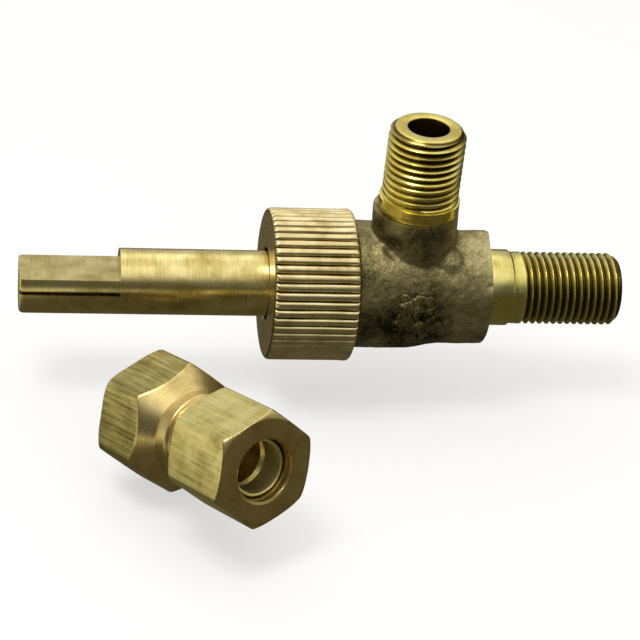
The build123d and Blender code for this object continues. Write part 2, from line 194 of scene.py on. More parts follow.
class Skin:
    """A surface made of rings of points, joined ring to ring."""

    def __init__(self, axis, columns=ROUND_COLUMNS):
        self.axis = axis
        self.columns = columns
        self.points = []
        self.faces = []
        self.rings = []

    def angle(self, column):
        return 2 * math.pi * column / self.columns

    def ring(self, station, radius):
        """One ring; the station and the radius are numbers or functions of the angle."""
        row = []
        for column in range(self.columns):
            angle = self.angle(column)
            where = station(angle) if callable(station) else station
            size = radius(angle) if callable(radius) else radius
            row.append(len(self.points))
            self.points.append(self.axis.point(where, size, angle))
        self.rings.append(row)
        return row

    def join(self, lower, upper):
        for column in range(self.columns):
            right = (column + 1) % self.columns
            self.faces.append((lower[column], lower[right], upper[right], upper[column]))

    def turn(self, outline):
        """Adds a ring for each (station, radius) point and joins it to the one before."""
        for station, radius in outline:
            before = self.rings[-1] if self.rings else None
            row = self.ring(station, radius)
            if before:
                self.join(before, row)

    def thread(self, start, end, pitch, radius):
        """Rows that climb a right-hand helix from start to end.

        radius(station, phase) is the surface, with phase 0 and 1 at the thread's root."""
        first_turn = math.floor(start / pitch) - 1
        turns = math.ceil(end / pitch) + 1 - first_turn
        rows = []
        for step in range(turns * len(THREAD_PHASES) + 1):
            turn, part = divmod(step, len(THREAD_PHASES))
            base = first_turn + turn + THREAD_PHASES[part]
            row = []
            for column in range(self.columns):
                lead = column / self.columns
                station = min(max((base + lead) * pitch, start), end)
                phase = (station / pitch - lead) % 1.0
                row.append(len(self.points))
                self.points.append(self.axis.point(station, radius(station, phase), self.angle(column)))
            rows.append(row)
        if self.rings:
            self.join(self.rings[-1], rows[0])
        last = len(rows) - 1
        for index in range(last):
            lower, upper = rows[index], rows[index + 1]
            for column in range(self.columns - 1):
                right = column + 1
                self.faces.append((lower[column], lower[right], upper[right], upper[column]))
            next_lower = rows[min(index + len(THREAD_PHASES), last)]
            next_upper = rows[min(index + 1 + len(THREAD_PHASES), last)]
            self.faces.append((lower[-1], next_lower[0], next_upper[0], upper[-1]))
        self.rings += rows

    def finish(self, name, sharp=35):
        """Closes the last ring to the first and makes the object."""
        self.join(self.rings[-1], self.rings[0])
        mesh = bpy.data.meshes.new(name)
        mesh.from_pydata(self.points, [], self.faces)
        clean(mesh)
        return new_object(name, mesh, sharp)


# where the rows of one thread turn lie: root, flank and crest, as parts of a pitch
THREAD_PHASES = (0.0, 0.07, 0.2, 0.32, 0.44, 0.47, 0.5, 0.53, 0.56, 0.68, 0.8, 0.93)
ROOT_HALF = 0.07
CREST_HALF = 0.06


def thread_share(phase):
    """How deep the surface lies at a phase of the turn: 0 at the crest, 1 at the root."""
    away = abs(phase - 0.5)
    if away >= 0.5 - ROOT_HALF:
        return 1.0
    if away <= CREST_HALF:
        return 0.06 * (away / CREST_HALF) ** 2
    return 0.06 + 0.94 * (away - CREST_HALF) / (0.5 - ROOT_HALF - CREST_HALF)


def clean(mesh):
    """Merges coincident points, drops empty faces and turns all faces outwards."""
    work = bmesh.new()
    work.from_mesh(mesh)
    bmesh.ops.remove_doubles(work, verts=work.verts, dist=1e-8)
    bmesh.ops.dissolve_degenerate(work, edges=work.edges, dist=1e-8)
    bmesh.ops.recalc_face_normals(work, faces=work.faces)
    work.to_mesh(mesh)
    work.free()


def new_object(name, mesh, sharp=35):
    mesh.shade_smooth()
    mesh.set_sharp_from_angle(angle=math.radians(sharp))
    made = bpy.data.objects.new(name, mesh)
    bpy.context.scene.collection.objects.link(made)
    return made


def applied(item):
    """Replaces an object's mesh by what its modifiers make of it."""
    depsgraph = bpy.context.evaluated_depsgraph_get()
    mesh = bpy.data.meshes.new_from_object(item.evaluated_get(depsgraph))
    item.modifiers.clear()
    item.data = mesh
    return item


def carve(item, tool):
    """Cuts one closed object out of another and throws the tool away."""
    cut = item.modifiers.new("cut", "BOOLEAN")
    cut.operation = "DIFFERENCE"
    cut.solver = "EXACT"
    cut.object = tool
    applied(item)
    bpy.data.objects.remove(tool)
    return item


def bar(name, axis, radius, start, end, columns=96):
    """A closed round bar."""
    skin = Skin(axis, columns)
    skin.turn([(start, 0.0), (start, radius), (end, radius), (end, 0.0)])
    return skin.finish(name)


def block(name, axis, station, size, offset=(0.0, 0.0), roll=0.0):
    """A closed box along an axis: size is (length, width, height), with height towards angle 0."""
    half = [value / 2 for value in size]
    points = []
    for x in (-half[0], half[0]):
        for y in (-half[1], half[1]):
            for z in (-half[2], half[2]):
                across = y + offset[0]
                up = z + offset[1]
                angle = math.atan2(across, up) + roll
                points.append(axis.point(station + x, math.hypot(across, up), angle))
    faces = [(0, 1, 3, 2), (4, 6, 7, 5), (0, 4, 5, 1), (2, 3, 7, 6), (0, 2, 6, 4), (1, 5, 7, 3)]
    mesh = bpy.data.meshes.new(name)
    mesh.from_pydata(points, [], faces)
    clean(mesh)
    return new_object(name, mesh)


def bevelled(item, width, angle=30, segments=3):
    """Rounds an object's sharp edges."""
    bevel = item.modifiers.new("edges", "BEVEL")
    bevel.width = width * MM
    bevel.segments = segments
    bevel.limit_method = "ANGLE"
    bevel.angle_limit = math.radians(angle)
    bevel.harden_normals = False
    bevel.use_clamp_overlap = True
    return item


def soft_min(first, second, width):
    """The smaller of two values, with a rounded change-over."""
    blend = max(width - abs(first - second), 0.0) / width
    return min(first, second) - blend * blend * width / 4


# ------------------------------------------------------------------ the axes

crossing = Vector((0, 0, AXIS_Z * MM))
stem_axis = Axis(crossing, (1, 0, 0), (0, 0, 1))
inlet_axis = Axis(crossing, (0, 0, 1), (1, 0, 0))

tube_joint = next(joint for joint in frame["joints"] if joint["name"] == "tube_nut_turn")
tube_direction = Vector(tube_joint["axis"]).normalized()
tube_rear = Vector(tube_joint["pos_m"]) - tube_direction * FITTING_PIVOT_STATION * MM
tube_axis = Axis(tube_rear, tube_direction, FITTING_UP)


# ------------------------------------------------------------------ valve body

def inlet_nipple():
    """The turned inlet: plain neck, 1/8-27 taper thread, rounded end and bore."""
    def crest(station):
        return INLET_CREST_R - (station - INLET_CREST_HEIGHT) * PIPE_TAPER

    def end_round(station):
        below_top = INLET_TOP - station
        return 4.15 + 0.78 * math.sin(min(below_top / 0.95, 1.0) * math.pi / 2)

    def surface(station, phase):
        fade = min(max((station - INLET_THREAD_END) / 0.4, 0.0), 1.0)
        radius = crest(station) - INLET_DEPTH * fade * thread_share(phase)
        return min(radius, end_round(station))

    skin = Skin(inlet_axis)
    foot = BOSS_TOP - 0.5
    neck = crest(INLET_THREAD_END)
    skin.turn([
        (INLET_TUBE_START, BORE_R), (INLET_TUBE_START, BORE_R + 0.4),
        (foot, BORE_R + 0.4), (foot, neck - 0.1),
        (BOSS_TOP + 0.01, neck - 0.1), (BOSS_TOP + 0.08, neck - 0.03), (BOSS_TOP + 0.2, neck),
        (BOSS_TOP + 0.8, neck), (INLET_THREAD_END - 0.05, neck),
    ])
    skin.thread(INLET_THREAD_END, INLET_TOP - 0.02, PITCH_27, surface)
    skin.turn([
        (INLET_TOP, 4.0), (INLET_TOP, BORE_R + 0.22), (INLET_TOP - 0.05, BORE_R + 0.08),
        (INLET_TOP - 0.2, BORE_R),
    ])
    return skin.finish("inlet_nipple")


def outlet_nipple():
    """The turned outlet: shank, relief, 3/8-27 straight thread, chamfered end and bore."""
    def end_round(station):
        return 4.0 + (OUTLET_END - station) * 0.92

    def surface(station, phase):
        fade = min(max((station - OUTLET_THREAD_START) / 0.5, 0.0), 1.0)
        radius = OUTLET_CREST_R - OUTLET_DEPTH * fade * thread_share(phase)
        return min(radius, end_round(station))

    skin = Skin(stem_axis)
    skin.turn([
        (6.0, BORE_R), (6.0, SHANK_R - 0.1), (REAR_FACE + 0.1, SHANK_R - 0.1), (REAR_FACE + 0.2, SHANK_R),
        (SHANK_END - 0.05, SHANK_R), (SHANK_END + 0.03, SHANK_R - 0.04), (SHANK_END + 0.22, RELIEF_R + 0.03),
        (SHANK_END + 0.3, RELIEF_R),
        (OUTLET_THREAD_START - 0.3, RELIEF_R), (OUTLET_THREAD_START - 0.15, OUTLET_CREST_R),
    ])
    skin.thread(OUTLET_THREAD_START, OUTLET_END - 0.02, PITCH_27, surface)
    skin.turn([
        (OUTLET_END, 3.95), (OUTLET_END, BORE_R + 0.22), (OUTLET_END - 0.05, BORE_R + 0.08),
        (OUTLET_END - 0.2, BORE_R),
    ])
    return skin.finish("outlet_nipple")


def packing_neck():
    """The threaded neck that the knurled nut screws on, hollow for the packing."""
    def surface(station, phase):
        top = min(NECK_R, NECK_R - 0.5 + (station - NECK_START) * 0.9)
        return min(top, NECK_R - 0.45 * thread_share(phase))

    skin = Skin(stem_axis, 128)
    skin.turn([
        (BARREL_START + 0.6, NECK_BORE_R), (NECK_START + 0.2, NECK_BORE_R),
        (NECK_START, NECK_BORE_R + 0.2), (NECK_START, NECK_R - 0.55),
    ])
    skin.thread(NECK_START + 0.02, BARREL_START - 0.4, PITCH_24, surface)
    skin.turn([(BARREL_START - 0.38, NECK_R - 0.5), (BARREL_START + 0.6, NECK_R - 0.5)])
    return skin.finish("packing_neck")


def smooth_step(value, low, high):
    share = min(max((value - low) / (high - low), 0.0), 1.0)
    return share * share * (3 - 2 * share)


def rough_height(point):
    """Height of the cast surface above its pattern, in millimetres, at a point in millimetres."""
    swell = noise.noise(point * 0.22 + Vector((3.1, 0.4, 7.7)))
    grain = noise.fractal(point * 1.5, 1.0, 2.1, 4, noise_basis="PERLIN_ORIGINAL")
    pit = noise.noise(point * 0.9 + Vector((11.0, 5.0, 2.0)))
    pits = -0.12 * max(pit - 0.4, 0.0) / 0.3
    away = (point - SCAR_CENTRE).length
    scarred = 1 - smooth_step(away, SCAR_REACH * 0.5, SCAR_REACH)
    vein = abs(noise.noise(point * 0.55 + Vector((1.3, 8.2, 4.4))))
    second_vein = abs(noise.noise(point * 0.8 + Vector((6.3, 2.2, 9.4))))
    scar = -0.30 * (1 - smooth_step(vein, 0.0, 0.09)) + 0.16 * (1 - smooth_step(second_vein, 0.0, 0.08))
    dent = -0.45 * (1 - smooth_step((point - DENT_CENTRE).length, 0.4, 1.9))
    return 0.10 * swell + 0.04 * grain + pits + scarred * scar + dent


def barrel_radius(station, angle):
    """The cast barrel: a larger raised half and a smaller roofed half, blended on the sides."""
    raised = BARREL_RAISE * math.cos(angle) + BARREL_R
    ridge_angle = math.acos(REAR_R / REAR_RIDGE)
    wrapped = abs((angle + math.pi) % (2 * math.pi) - math.pi)
    roofed = REAR_R
    if wrapped < ridge_angle:
        roofed = REAR_R / math.cos(ridge_angle - wrapped)
    side = abs(math.sin(angle))
    start = BARREL_STEP - 0.25 - 5.0 * side
    end = BARREL_STEP + 0.25 + 4.0 * side
    return raised + (roofed - raised) * smooth_step(station, start, end)


def barrel():
    """The horizontal barrel, closed at both ends."""
    skin = Skin(Axis((0, 0, 0), (1, 0, 0), (0, 0, 1)), 160)
    steps = 60
    first = BARREL_START - CUT_OVERRUN
    last = REAR_FACE + CUT_OVERRUN
    skin.turn([(first, 0.0)])
    for step in range(steps + 1):
        station = first + (last - first) * step / steps
        skin.turn([(station, lambda angle: barrel_radius(station, angle))])
    skin.turn([(last, 0.0)])
    return skin.finish("barrel")


def web(centre, radius):
    """A ball of metal that thickens the corner between barrel and boss."""
    mesh = bpy.data.meshes.new("web")
    work = bmesh.new()
    bmesh.ops.create_icosphere(work, subdivisions=3, radius=radius * MM)
    bmesh.ops.translate(work, vec=Vector(centre) * MM, verts=work.verts)
    work.to_mesh(mesh)
    work.free()
    return new_object("web", mesh)


def body_casting():
    """The cast body: barrel, leaning boss and corner webs, blended and roughened, then faced and bored."""
    boss_top = Vector((*BOSS_TOP_SHIFT, BOSS_TOP)) * MM
    leaning = Axis(boss_top, (-BOSS_LEAN, 0, 1), (1, 0, 0))
    parts = [barrel(), bar("boss", leaning, BOSS_R, -BOSS_TOP, CUT_OVERRUN)]
    parts += [web(centre, radius) for centre, radius in WEBS]
    work = bmesh.new()
    for part in parts:
        work.from_mesh(part.data)
        bpy.data.objects.remove(part)
    bmesh.ops.scale(work, vec=(1 / MM, 1 / MM, 1 / MM), verts=work.verts)
    mesh = bpy.data.meshes.new("body_casting")
    work.to_mesh(mesh)
    work.free()
    casting = new_object("body_casting", mesh)
    remesh = casting.modifiers.new("blend", "REMESH")
    remesh.mode = "VOXEL"
    remesh.voxel_size = 0.17
    relax = casting.modifiers.new("relax", "SMOOTH")
    relax.factor = 0.5
    relax.iterations = 16
    applied(casting)
    work = bmesh.new()
    work.from_mesh(casting.data)
    work.normal_update()
    for vertex in work.verts:
        vertex.co += vertex.normal * rough_height(vertex.co)
    for centre, normal in (
        (Vector((REAR_FACE, 0, 0)), Vector((1, 0, 0))),
        (Vector((BARREL_START, 0, 0)), Vector((-1, 0, 0))),
        (Vector((0, 0, BOSS_TOP)), Vector((0, 0, 1))),
    ):
        everything = work.verts[:] + work.edges[:] + work.faces[:]
        cut = bmesh.ops.bisect_plane(work, geom=everything, plane_co=centre, plane_no=normal,
                                     clear_outer=True)
        edges = [item for item in cut["geom_cut"] if isinstance(item, bmesh.types.BMEdge)]
        for face in bmesh.ops.holes_fill(work, edges=edges)["faces"]:
            face.material_index = 1
    bmesh.ops.recalc_face_normals(work, faces=work.faces)
    bmesh.ops.scale(work, vec=(MM, MM, MM), verts=work.verts)
    bmesh.ops.translate(work, vec=crossing, verts=work.verts)
    work.to_mesh(casting.data)
    work.free()
    carve(casting, bar("bore", stem_axis, NECK_BORE_R, BARREL_START - 1, NECK_BORE_END))
    carve(casting, bar("bore", stem_axis, STEM_BORE_R, STEM_BORE_START, STEM_BORE_END))
    carve(casting, bar("bore", stem_axis, SEAT_POCKET_R, SEAT_POCKET_START, REAR_FACE + 1))
    carve(casting, bar("bore", inlet_axis, BORE_R + 0.35, 0.0, BOSS_TOP + 1))
    casting.data.shade_smooth()
    casting.data.set_sharp_from_angle(angle=math.radians(50))
    return casting


# ------------------------------------------------------------------ stem and nut

def stem_bar():
    """The stem: chamfered end, D flat, saw slit, thrust collar and tang slot."""
    skin = Skin(stem_axis, 160)
    skin.turn([
        (STEM_START, 0.0), (STEM_START, STEM_R - STEM_END_ROUND),
        (STEM_START + 0.1 * STEM_END_ROUND, STEM_R - 0.6 * STEM_END_ROUND),
        (STEM_START + 0.35 * STEM_END_ROUND, STEM_R - 0.25 * STEM_END_ROUND),
        (STEM_START + STEM_END_ROUND, STEM_R), (COLLAR_START, STEM_R), (COLLAR_START, STEM_COLLAR_R),
        (STEM_END, STEM_COLLAR_R), (STEM_END, 0.0),
    ])
    stem = skin.finish("stem_bar")
    length = 2 * (STEM_FLAT_END - STEM_START)
    height = STEM_R
    flat = block("flat", stem_axis, STEM_FLAT_END - length / 2, (length, 4 * STEM_R, height),
                 (0.0, STEM_FLAT_HEIGHT + height / 2), STEM_ROLL)
    carve(stem, flat)
    length = 2 * (STEM_SLIT_END - STEM_START)
    carve(stem, block("slit", stem_axis, STEM_SLIT_END - length / 2,
                      (length, 4 * STEM_R, STEM_SLIT_WIDTH), roll=STEM_ROLL))
    length = 2 * (STEM_END - TANG_SLOT_END)
    carve(stem, block("slot", stem_axis, TANG_SLOT_END + length / 2,
                      (length, TANG_SLOT_HEIGHT, TANG_SLOT_WIDTH)))
    stem.data.shade_smooth()
    stem.data.set_sharp_from_angle(angle=math.radians(30))
    return bevelled(stem, 0.07)


def knurled_nut():
    """The packing nut with its straight knurl, rounded front edge, burred rear edge, hole and a plain bore at
    its thread's radius.
    """
    columns = KNURL_RIDGES * 14
    front_round, front_cut = 0.85, 0.75
    rear_round, rear_cut = 0.4, 0.3

    def knurl(station, angle):
        turn = angle * KNURL_RIDGES / (2 * math.pi)
        index = round(turn)
        away = abs(turn - index) * 2
        uneven = 1 + 0.25 * noise.noise(Vector((index * 1.7, station * 0.35, 0.9)))
        burr = KNURL_FLARE * smooth_step(station, NUT_END - 1.6, NUT_END - 0.5)
        return NUT_R - KNURL_FLARE + burr - KNURL_DEPTH * uneven * away ** 2.8

    def envelope(station):
        front = 1 - min((station - NUT_START) / front_round, 1.0)
        rear = 1 - min((NUT_END - station) / rear_round, 1.0)
        return NUT_R + 0.03 - front_cut * (1 - math.sqrt(1 - front * front)) - rear_cut * rear * rear

    def ring_at(station):
        limit = envelope(station)
        return station, lambda angle: soft_min(knurl(station, angle), limit, 0.14)

    stations = [NUT_START + front_round * (step / 10) ** 2 for step in range(11)]
    body_steps = 24
    body_start = stations[-1]
    body_end = NUT_END - 2.0
    stations += [body_start + (body_end - body_start) * step / body_steps for step in range(1, body_steps)]
    stations += [body_end + 2.0 * (1 - (1 - step / 12) ** 2) for step in range(13)]
    skin = Skin(stem_axis, columns)
    skin.turn([(NUT_START + 0.15, NUT_HOLE_R), (NUT_START, NUT_HOLE_R + 0.15)])
    for station in stations:
        skin.turn([ring_at(station)])
    skin.turn([
        (NUT_END, NUT_THREAD_R + 0.3), (NUT_END - 0.3, NUT_THREAD_R),
        (NUT_POCKET, NUT_THREAD_R), (NUT_POCKET, NUT_HOLE_R),
    ])
    return skin.finish("packing_nut", 40)


# ------------------------------------------------------------------ compression fitting

def hexagon(across_flats, corner_round):
    """Radius of a hexagon with rounded corners, as a function of the angle; a flat is at angle 0."""
    def radius(angle):
        inward = [math.cos(angle - side * math.pi / 3) for side in range(6)]
        reach = sorted(across_flats / 2 / value for value in inward if value > 0.2)
        return soft_min(reach[0], reach[1], corner_round)
    return radius


def hexagon_ring(shape, station, limit, rounding):
    return station, lambda angle: soft_min(shape(angle), limit, rounding)


def fitting_body():
    """The coupling: hexagon, turned shoulder, 7/16-24 thread and the bores at both ends."""
    shape = hexagon(FITTING_HEX, 0.5)
    corner = FITTING_HEX / math.sqrt(3)
    skin = Skin(tube_axis, 240)
    chamfer = [(0.0, -0.75), (0.08, -0.6), (0.16, -0.45), (0.26, -0.3), (0.38, -0.15), (0.5, 0.0), (0.8, 0.1)]
    skin.turn([(0.0, COUPLING_MINOR_R + 0.55)])
    skin.turn([hexagon_ring(shape, station, corner + extra, 0.12) for station, extra in chamfer])
    straight = 6
    for step in range(1, straight):
        skin.turn([(0.8 + (FITTING_HEX_LENGTH - 1.0) * step / straight, shape)])
    slope = (corner - FITTING_THREAD_R) / (FITTING_SHOULDER_END - FITTING_HEX_LENGTH)
    shoulder_steps = 26
    shoulder_length = FITTING_SHOULDER_END - FITTING_HEX_LENGTH
    for step in range(-2, shoulder_steps + 1):
        station = FITTING_HEX_LENGTH + shoulder_length * step / shoulder_steps
        limit = corner - slope * (station - FITTING_HEX_LENGTH)
        skin.turn([hexagon_ring(shape, station, limit, 0.12)])
    neck_end = FITTING_SHOULDER_END + 1.7

    def surface(station, phase):
        fade = min(max((station - neck_end) / 0.4, 0.0), 1.0)
        end_round = FITTING_THREAD_R - 0.5 + (FITTING_THREAD_END - station) * 0.9
        return min(FITTING_THREAD_R - FITTING_THREAD_DEPTH * fade * thread_share(phase), end_round)

    skin.thread(FITTING_SHOULDER_END + 0.03, FITTING_THREAD_END - 0.02, PITCH_24, surface)
    skin.turn([
        (FITTING_THREAD_END, SOCKET_R + SOCKET_CONE), (FITTING_THREAD_END - SOCKET_CONE, SOCKET_R),
        (SOCKET_START, SOCKET_R), (SOCKET_START, STOP_R), (COUPLING_DEPTH, STOP_R),
        (COUPLING_DEPTH, COUPLING_MINOR_R),
    ])
    return skin_with_inside_thread(skin)


def skin_with_inside_thread(skin):
    """Ends the coupling with its female 3/8-27 thread and closes the skin."""
    start = COUPLING_DEPTH - 0.6
    mouth = 0.5
    relief = COUPLING_R - 0.1
    skin.turn([(COUPLING_DEPTH - 0.02, relief), (start + 0.02, relief)])

    def surface(station, phase):
        flare = max(mouth - station, 0.0)
        groove = COUPLING_MINOR_R + 0.45 * (1 - thread_share(phase))
        return max(groove, COUPLING_MINOR_R + flare)

    # the rows run from the mouth inwards, so they are made apart and joined at both ends
    before = skin.rings[-1]
    skin.rings = []
    skin.thread(0.02, start, PITCH_27, surface)
    mouth_row, deep_row = skin.rings[0], skin.rings[-1]
    skin.join(before, deep_row)
    skin.join(mouth_row, list(range(skin.columns)))
    mesh = bpy.data.meshes.new("coupling_body")
    mesh.from_pydata(skin.points, [], skin.faces)
    clean(mesh)
    return new_object("coupling_body", mesh, 35)


def compression_nut():
    """The hexagonal nut with turned corners, its hole and a plain bore at its hidden thread's radius."""
    shape = hexagon(TUBE_NUT_HEX, 0.35)
    corner = TUBE_NUT_HEX / math.sqrt(3)
    length = TUBE_NUT_END - TUBE_NUT_START
    rise = [(0.0, -0.95), (0.06, -0.8), (0.12, -0.66), (0.2, -0.5), (0.3, -0.34), (0.42, -0.17), (0.56, 0.0),
            (0.85, 0.12)]
    skin = Skin(tube_axis, 240)

    def face_edge(angle):
        return soft_min(shape(angle), corner + rise[0][1], 0.12) - 0.22

    skin.turn([(TUBE_NUT_START, TUBE_NUT_THREAD_R + 0.25)])
    skin.turn([hexagon_ring(shape, TUBE_NUT_START + away, corner + extra, 0.12) for away, extra in rise])
    for step in range(1, 8):
        skin.turn([(TUBE_NUT_START + 0.85 + (length - 1.7) * step / 8, shape)])
    fall = reversed(rise)
    skin.turn([hexagon_ring(shape, TUBE_NUT_END - away, corner + extra, 0.12) for away, extra in fall])
    skin.turn([
        (TUBE_NUT_END, face_edge), (TUBE_NUT_END, TUBE_NUT_HOLE_R + 0.42),
        (TUBE_NUT_END, TUBE_NUT_HOLE_R + 0.3), (TUBE_NUT_END - 0.12, TUBE_NUT_HOLE_R + 0.08),
        (TUBE_NUT_END - 0.3, TUBE_NUT_HOLE_R), (TUBE_NUT_SHOULDER, TUBE_NUT_HOLE_R),
        (TUBE_NUT_SHOULDER - 1.2, TUBE_NUT_THREAD_R), (TUBE_NUT_START + 0.3, TUBE_NUT_THREAD_R),
    ])
    return skin.finish("tube_nut")


def ferrule_sleeve():
    """The ferrule, with rolled edges."""
    skin = Skin(tube_axis, 160)
    skin.turn([
        (FERRULE_START, SOCKET_R + 0.05), (FERRULE_START, FERRULE_NOSE_R - 0.08),
        (FERRULE_START + 0.08, FERRULE_NOSE_R), (FERRULE_START + 1.1, FERRULE_R - 0.04),
        (FERRULE_START + 1.25, FERRULE_R), (TUBE_NUT_SHOULDER - 0.8, FERRULE_R),
        (TUBE_NUT_SHOULDER - 0.1, FERRULE_SLEEVE_R), (FERRULE_END - 0.1, FERRULE_SLEEVE_R),
        (FERRULE_END - 0.03, FERRULE_SLEEVE_R - 0.03), (FERRULE_END, FERRULE_SLEEVE_R - 0.1),
        (FERRULE_END, SOCKET_R + 0.08), (FERRULE_END - 0.05, SOCKET_R + 0.01),
        (FERRULE_END - 0.15, SOCKET_R), (FERRULE_START + 0.05, SOCKET_R),
    ])
    return skin.finish("ferrule_sleeve")


# ------------------------------------------------------------------ materials

ALONG_X = (0.0, 1.0, 1.0)
ALONG_Z = (1.0, 1.0, 0.0)


def material(name):
    made = bpy.data.materials.new(name)
    made.use_nodes = True
    made.node_tree.nodes.clear()
    return made, made.node_tree.nodes, made.node_tree.links


def texture_space(nodes, links, scale, rotation=None):
    """Object coordinates in millimetres, stretched by scale."""
    place = nodes.new("ShaderNodeTexCoord")
    mapping = nodes.new("ShaderNodeMapping")
    mapping.inputs["Scale"].default_value = [value / MM for value in scale]
    if rotation:
        mapping.vector_type = "TEXTURE"
        mapping.inputs["Rotation"].default_value = rotation
        mapping.inputs["Scale"].default_value = [MM / value for value in scale]
    links.new(place.outputs["Object"], mapping.inputs["Vector"])
    return mapping.outputs["Vector"]


def noise_node(nodes, links, vector, scale, detail=4.0, roughness=0.55):
    made = nodes.new("ShaderNodeTexNoise")
    made.inputs["Scale"].default_value = scale
    made.inputs["Detail"].default_value = detail
    made.inputs["Roughness"].default_value = roughness
    links.new(vector, made.inputs["Vector"])
    return made.outputs["Fac"]


def ramp_node(nodes, links, source, stops):
    made = nodes.new("ShaderNodeValToRGB")
    elements = made.color_ramp.elements
    while len(elements) < len(stops):
        elements.new(0.5)
    for element, (place, colour) in zip(elements, stops):
        element.position = place
        element.color = (*colour, 1.0)
    links.new(source, made.inputs["Fac"])
    return made.outputs["Color"]


def range_node(nodes, links, source, low, high, to_low, to_high):
    made = nodes.new("ShaderNodeMapRange")
    made.inputs["From Min"].default_value = low
    made.inputs["From Max"].default_value = high
    made.inputs["To Min"].default_value = to_low
    made.inputs["To Max"].default_value = to_high
    links.new(source, made.inputs["Value"])
    return made.outputs["Result"]


def bump_node(nodes, links, height, strength, distance, under=None):
    made = nodes.new("ShaderNodeBump")
    made.inputs["Strength"].default_value = strength
    made.inputs["Distance"].default_value = distance * MM
    links.new(height, made.inputs["Height"])
    if under:
        links.new(under, made.inputs["Normal"])
    return made.outputs["Normal"]


def surface_node(nodes, links, colour, roughness, normal, metallic=1.0):
    shader = nodes.new("ShaderNodeBsdfPrincipled")
    shader.inputs["Metallic"].default_value = metallic
    links.new(colour, shader.inputs["Base Color"])
    links.new(roughness, shader.inputs["Roughness"])
    links.new(normal, shader.inputs["Normal"])
    out = nodes.new("ShaderNodeOutputMaterial")
    links.new(shader.outputs["BSDF"], out.inputs["Surface"])
    return shader


def depth_below(nodes, links, across, centre, bore, root, crest):
    """0 at a groove's root radius and in the bore, 1 at the crest and on faces inside the groove."""
    place = nodes.new("ShaderNodeTexCoord")
    shift = nodes.new("ShaderNodeVectorMath")
    shift.operation = "SUBTRACT"
    shift.inputs[1].default_value = centre
    links.new(place.outputs["Object"], shift.inputs[0])
    flat = nodes.new("ShaderNodeVectorMath")
    flat.operation = "MULTIPLY"
    flat.inputs[1].default_value = across
    links.new(shift.outputs["Vector"], flat.inputs[0])
    length = nodes.new("ShaderNodeVectorMath")
    length.operation = "LENGTH"
    links.new(flat.outputs["Vector"], length.inputs[0])
    radius = length.outputs["Value"]
    outward = range_node(nodes, links, radius, root * MM, crest * MM, 0.0, 1.0)
    inward = range_node(nodes, links, radius, (root - 0.3) * MM, (root - 0.1) * MM, 1.0, 0.0)
    most = nodes.new("ShaderNodeMath")
    most.operation = "MAXIMUM"
    links.new(outward, most.inputs[0])
    links.new(inward, most.inputs[1])
    open_side = range_node(nodes, links, radius, (bore + 0.02) * MM, (bore + 0.2) * MM, 0.0, 1.0)
    least = nodes.new("ShaderNodeMath")
    least.operation = "MINIMUM"
    links.new(most.outputs["Value"], least.inputs[0])
    links.new(open_side, least.inputs[1])
    return least.outputs["Value"]


def float_mix(nodes, links, share, first, second):
    """Blend of two numbers; share is a fixed number or a socket."""
    mix = nodes.new("ShaderNodeMix")
    mix.data_type = "FLOAT"
    if isinstance(share, float):
        mix.inputs["Factor"].default_value = share
    else:
        links.new(share, mix.inputs["Factor"])
    links.new(first, mix.inputs["A"])
    links.new(second, mix.inputs["B"])
    return mix.outputs["Result"]


def shaded(nodes, links, colour, dark, share):
    """Colour laid over a dark tone, by share."""
    mix = nodes.new("ShaderNodeMix")
    mix.data_type = "RGBA"
    links.new(share, mix.inputs["Factor"])
    mix.inputs["A"].default_value = (*dark, 1.0)
    links.new(colour, mix.inputs["B"])
    return mix.outputs["Result"]


def worked_brass(name, tones, streak_scale, rotation=None, roughness=(0.16, 0.34), mark_depth=0.004,
                 cloud_share=0.6, groove_shade=None):
    """Machined or drawn brass: tool marks along the surface, tarnish clouds, worn shine.

    streak_scale stretches the marks: small numbers run along that axis.
    The last argument, when given, paints shade into grooves and bores: (across, centre, bore, root and crest
    radius)."""
    made, nodes, links = material(name)
    marks = texture_space(nodes, links, streak_scale, rotation)
    plain = texture_space(nodes, links, (1, 1, 1))
    tool = noise_node(nodes, links, marks, 1.0, 3.0)
    cloud = noise_node(nodes, links, plain, 0.35, 5.0, 0.6)
    tarnish = float_mix(nodes, links, 1.0 - cloud_share, cloud, tool)
    dark, middle, light = tones
    colour = ramp_node(nodes, links, tarnish, [(0.32, dark), (0.5, middle), (0.66, light)])
    # painted shade: grooves, knurl valleys and bores are darkened towards a dark brown
    if groove_shade:
        colour = shaded(nodes, links, colour, GROOVE_SHADE, depth_below(nodes, links, *groove_shade))
    rough = range_node(nodes, links, tarnish, 0.3, 0.7, roughness[1], roughness[0])
    normal = bump_node(nodes, links, tool, 0.6, mark_depth)
    surface_node(nodes, links, colour, rough, normal)
    return made


